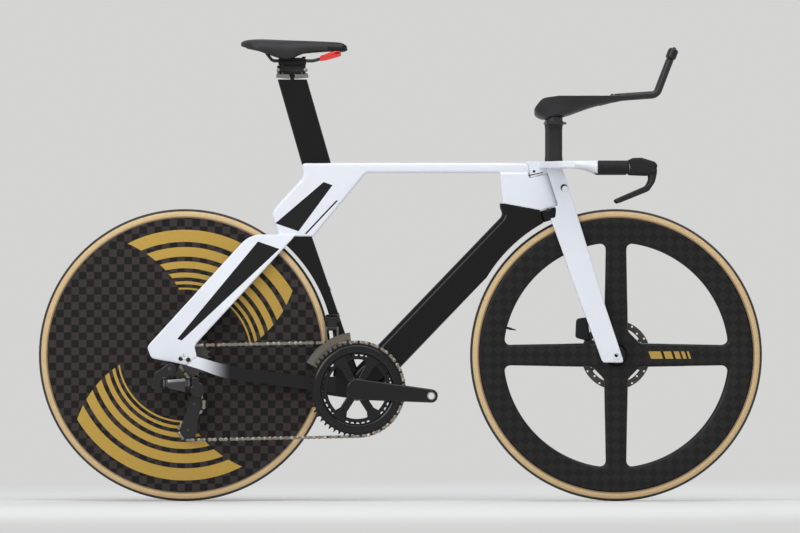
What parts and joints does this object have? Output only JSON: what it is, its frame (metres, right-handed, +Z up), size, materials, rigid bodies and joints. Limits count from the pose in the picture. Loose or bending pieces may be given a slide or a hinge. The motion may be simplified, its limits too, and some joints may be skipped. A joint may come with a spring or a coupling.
{
  "type": "time trial bike",
  "caption": "Time trial bike with deep white and black frame, disc rear wheel, bladed front wheel and forearm extensions",
  "frame": {"origin": "on the ground under the middle of the wheelbase, in the mid plane", "axes": "+X forward, the way the bike rides; +Y to the rider's left; +Z up"},
  "size_m": [1.674, 0.421, 1.0704],
  "materials": {
    "paint_white": "glossy",
    "paint_black": "glossy",
    "tan_sidewall_tyre": "matte",
    "wheel_carbon": "satin",
    "disc_carbon": "satin",
    "steel": "satin",
    "black_alloy": "satin",
    "crank_black": "glossy",
    "bar_carbon": "satin",
    "grip_rubber": "matte",
    "lever_black": "satin",
    "pad_foam": "matte",
    "saddle_skin": "satin",
    "saddle_base": "satin",
    "nose_red": "glossy",
    "clamp_silver": "satin",
    "derailleur_black": "glossy",
    "fd_plate": "satin"
  },
  "bodies": {
    "frame": {"top_tube": "paint_white", "seat_cluster": "paint_white", "head_tube": "paint_white", "down_tube": "paint_black", "seat_tube": "paint_black", "seat_stays": "paint_white", "chain_stays": "paint_black", "frame_bearings": "steel", "bottle_bosses": "black_alloy", "seatpost_wedge": "paint_black", "rear_thru_axle": "black_alloy", "rear_brake_caliper": "black_alloy", "derailleur_hanger": "paint_black", "rd_knuckle": "derailleur_black", "fd_body": "derailleur_black", "chain": "steel"},
    "steering": {"fork": "paint_white", "steering_rod": "steel", "front_thru_axle": "black_alloy", "front_brake_caliper": "black_alloy", "base_bar": "paint_white", "bar_grips": "grip_rubber", "brake_hoods": "grip_rubber", "riser": "bar_carbon", "forearm_extensions": "bar_carbon", "arm_pads": "pad_foam", "shifter_pods": "lever_black"},
    "front_wheel_set": {"front_wheel": "wheel_carbon", "front_tyre": "tan_sidewall_tyre", "front_hub": "black_alloy", "front_rotor": "steel", "valve_stem": "steel"},
    "rear_wheel_set": {"rear_disc": "disc_carbon", "rear_tyre": "tan_sidewall_tyre", "rear_hub": "black_alloy", "rear_rotor": "steel"},
    "cog_set": {"cassette": "steel"},
    "crank_set": {"crank_arm_right": "crank_black", "crank_arm_left": "crank_black", "big_chainring": "crank_black", "small_chainring": "crank_black", "chainring_bolts": "black_alloy"},
    "lever_left": {"brake_lever_left": "lever_black"},
    "lever_right": {"brake_lever_right": "lever_black"},
    "button_left": {"tip_button_left": "lever_black"},
    "button_right": {"tip_button_right": "lever_black"},
    "rear_outer_link": {"rd_outer_link": "derailleur_black"},
    "rear_inner_link": {"rd_inner_link": "derailleur_black"},
    "rear_lower_knuckle": {"rd_lower_knuckle": "derailleur_black"},
    "rear_cage": {"rd_cage": "derailleur_black"},
    "guide_wheel": {"guide_pulley": "derailleur_black"},
    "tension_wheel": {"tension_pulley": "derailleur_black"},
    "front_shift_link": {"fd_link": "derailleur_black"},
    "front_shift_cage": {"fd_cage": "fd_plate"},
    "post": {"seatpost": "paint_black"},
    "cradle": {"saddle_clamp": "clamp_silver"},
    "saddle": {"saddle_cover": "saddle_skin", "saddle_shell": "saddle_base", "saddle_rails": "steel", "saddle_nose_bridge": "nose_red"}
  },
  "joints": [
    {"name": "steering_turn", "type": "hinge", "parent": "frame", "child": "steering", "pos_m": [0.45704, 0, 0.32477], "axis": [-0.3007, 0, 0.9537], "range_deg": [-40, 40]},
    {"name": "front_wheel_spin", "type": "hinge", "parent": "steering", "child": "front_wheel_set", "pos_m": [0.499, 0, 0.338], "axis": [0, 1, 0], "continuous": true},
    {"name": "rear_wheel_spin", "type": "hinge", "parent": "frame", "child": "rear_wheel_set", "pos_m": [-0.499, 0, 0.338], "axis": [0, 1, 0], "continuous": true},
    {"name": "crank_spin", "type": "hinge", "parent": "frame", "child": "crank_set", "pos_m": [-0.1005, 0, 0.2595], "axis": [0, 1, 0], "continuous": true, "deforming": ["chain"]},
    {"name": "cassette_spin", "type": "hinge", "parent": "frame", "child": "cog_set", "pos_m": [-0.499, 0, 0.338], "axis": [0, 1, 0], "continuous": true},
    {"name": "rear_shift", "type": "hinge", "parent": "frame", "child": "rear_outer_link", "pos_m": [-0.545, -0.102, 0.274], "axis": [0, 0, 1], "range_deg": [0, 43.9]},
    {"name": "rear_inner_turn", "type": "hinge", "parent": "frame", "child": "rear_inner_link", "pos_m": [-0.545, -0.088, 0.274], "axis": [0, 0, 1], "range_deg": [0, 43.9]},
    {"name": "rear_knuckle_level", "type": "hinge", "parent": "rear_outer_link", "child": "rear_lower_knuckle", "pos_m": [-0.489, -0.102, 0.274], "axis": [0, 0, 1], "range_deg": [-43.9, 0]},
    {"name": "rear_cage_swing", "type": "hinge", "parent": "rear_lower_knuckle", "child": "rear_cage", "pos_m": [-0.468, -0.0652, 0.2585], "axis": [0, 1, 0], "range_deg": [-50, 20], "stiffness_Nm_per_rad": 1},
    {"name": "guide_pulley_spin", "type": "hinge", "parent": "rear_cage", "child": "guide_wheel", "pos_m": [-0.4756, -0.0652, 0.2247], "axis": [0, 1, 0], "continuous": true},
    {"name": "tension_pulley_spin", "type": "hinge", "parent": "rear_cage", "child": "tension_wheel", "pos_m": [-0.48942, -0.0652, 0.16447], "axis": [0, 1, 0], "continuous": true},
    {"name": "front_shift", "type": "hinge", "parent": "frame", "child": "front_shift_link", "pos_m": [-0.1585, -0.045, 0.423], "axis": [1, 0, 0], "range_deg": [0, 17.7]},
    {"name": "front_cage_level", "type": "hinge", "parent": "front_shift_link", "child": "front_shift_cage", "pos_m": [-0.1585, -0.045, 0.399], "axis": [1, 0, 0], "range_deg": [-17.7, 0]},
    {"name": "brake_lever_left_pull", "type": "hinge", "parent": "steering", "child": "lever_left", "pos_m": [0.58172, 0.195, 0.765], "axis": [0, 1, 0], "range_deg": [0, 18], "stiffness_Nm_per_rad": 0.6, "springref_deg": -9.74},
    {"name": "brake_lever_right_pull", "type": "hinge", "parent": "steering", "child": "lever_right", "pos_m": [0.58172, -0.195, 0.765], "axis": [0, 1, 0], "range_deg": [0, 18], "stiffness_Nm_per_rad": 0.6, "springref_deg": -9.74},
    {"name": "tip_button_left_press", "type": "slide", "parent": "steering", "child": "button_left", "axis": [-0.3574, 0, -0.9339], "range_m": [0, 0.0015], "stiffness_N_per_m": 500},
    {"name": "tip_button_right_press", "type": "slide", "parent": "steering", "child": "button_right", "axis": [-0.3574, 0, -0.9339], "range_m": [0, 0.0015], "stiffness_N_per_m": 500},
    {"name": "seatpost_height", "type": "slide", "parent": "frame", "child": "post", "axis": [-0.2756, 0, 0.9613], "range_m": [-0.01, 0.025]},
    {"name": "saddle_tilt", "type": "hinge", "parent": "post", "child": "cradle", "pos_m": [-0.25034, 0, 0.985], "axis": [0, 1, 0], "range_deg": [-5, 5]},
    {"name": "saddle_fore_aft", "type": "slide", "parent": "cradle", "child": "saddle", "axis": [1, 0, 0], "range_m": [-0.012, 0.006]}
  ],
  "couplings": [
    {"joint": "cassette_spin", "follows": "crank_spin", "ratio": 4.9091},
    {"joint": "guide_pulley_spin", "follows": "crank_spin", "ratio": -4.9091},
    {"joint": "tension_pulley_spin", "follows": "crank_spin", "ratio": 4.9091},
    {"joint": "rear_inner_turn", "follows": "rear_shift", "ratio": 1},
    {"joint": "rear_knuckle_level", "follows": "rear_shift", "ratio": -1},
    {"joint": "front_cage_level", "follows": "front_shift", "ratio": -1}
  ]
}
